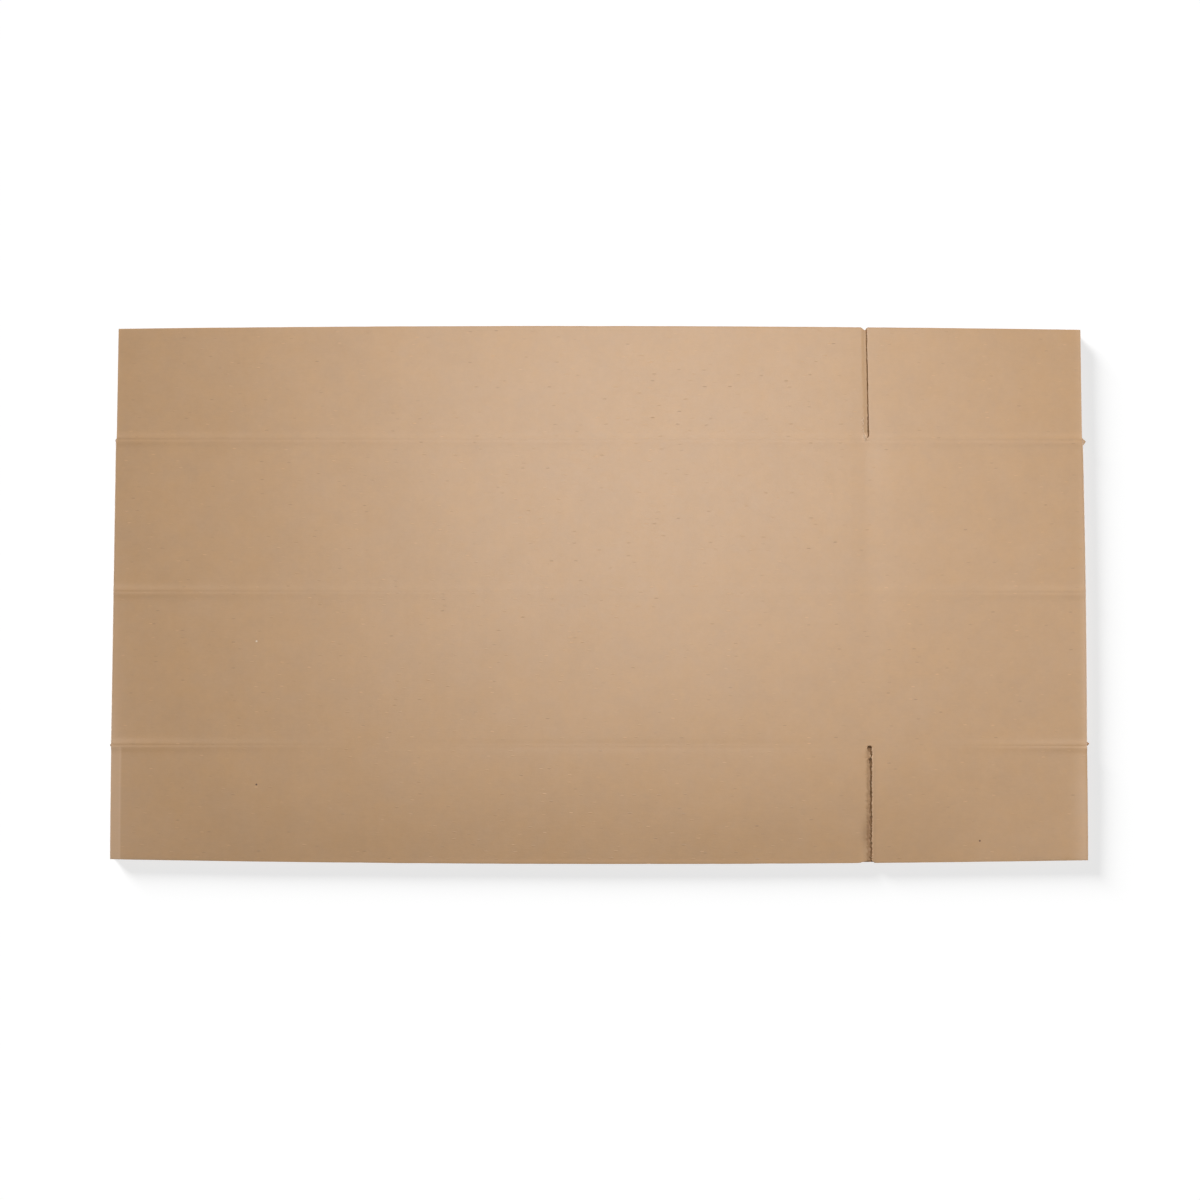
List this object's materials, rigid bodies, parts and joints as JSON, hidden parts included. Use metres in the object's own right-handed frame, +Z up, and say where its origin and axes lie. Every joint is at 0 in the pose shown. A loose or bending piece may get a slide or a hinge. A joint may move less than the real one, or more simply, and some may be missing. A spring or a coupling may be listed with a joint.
{
  "type": "flattened cardboard box",
  "caption": "Plain brown corrugated shipping carton folded flat, with a glued sleeve, pressed scores and free slotted flaps along the top and bottom edges.",
  "frame": {"origin": "middle of the flat box, on the underside that it lies on", "axes": "+X along the flap scores, from the long front panel to the short one; +Y along the box height, towards the top flaps; +Z up, out of the front layer"},
  "size_m": [0.648, 0.355, 0.0078],
  "materials": {
    "kraft_board": "matt unbleached brown liner"
  },
  "bodies": {
    "sleeve": {"sleeve": "kraft_board"},
    "front_top_long_flap": {"front_top_long_flap": "kraft_board"},
    "front_top_short_flap": {"front_top_short_flap": "kraft_board"},
    "front_bottom_long_flap": {"front_bottom_long_flap": "kraft_board"},
    "front_bottom_short_flap": {"front_bottom_short_flap": "kraft_board"},
    "back_top_long_flap": {"back_top_long_flap": "kraft_board"},
    "back_top_short_flap": {"back_top_short_flap": "kraft_board"},
    "back_bottom_long_flap": {"back_bottom_long_flap": "kraft_board"},
    "back_bottom_short_flap": {"back_bottom_short_flap": "kraft_board"}
  },
  "joints": [
    {"name": "front_top_long_score", "type": "hinge", "parent": "sleeve", "child": "front_top_long_flap", "pos_m": [-0.0729, 0.1015, 0.008], "axis": [1, 0, 0], "range_deg": [0, 175]},
    {"name": "front_top_short_score", "type": "hinge", "parent": "sleeve", "child": "front_top_short_flap", "pos_m": [0.2514, 0.1015, 0.008], "axis": [1, 0, 0], "range_deg": [0, 175]},
    {"name": "front_bottom_long_score", "type": "hinge", "parent": "sleeve", "child": "front_bottom_long_flap", "pos_m": [-0.0729, -0.1015, 0.008], "axis": [-1, 0, 0], "range_deg": [0, 175]},
    {"name": "front_bottom_short_score", "type": "hinge", "parent": "sleeve", "child": "front_bottom_short_flap", "pos_m": [0.2514, -0.1015, 0.008], "axis": [-1, 0, 0], "range_deg": [0, 175]},
    {"name": "back_top_long_score", "type": "hinge", "parent": "sleeve", "child": "back_top_long_flap", "pos_m": [0.0729, 0.1015, -0.0002], "axis": [-1, 0, 0], "range_deg": [0, 175]},
    {"name": "back_top_short_score", "type": "hinge", "parent": "sleeve", "child": "back_top_short_flap", "pos_m": [-0.2514, 0.1015, -0.0002], "axis": [-1, 0, 0], "range_deg": [0, 175]},
    {"name": "back_bottom_long_score", "type": "hinge", "parent": "sleeve", "child": "back_bottom_long_flap", "pos_m": [0.0729, -0.1015, -0.0002], "axis": [1, 0, 0], "range_deg": [0, 175]},
    {"name": "back_bottom_short_score", "type": "hinge", "parent": "sleeve", "child": "back_bottom_short_flap", "pos_m": [-0.2514, -0.1015, -0.0002], "axis": [1, 0, 0], "range_deg": [0, 175]}
  ]
}
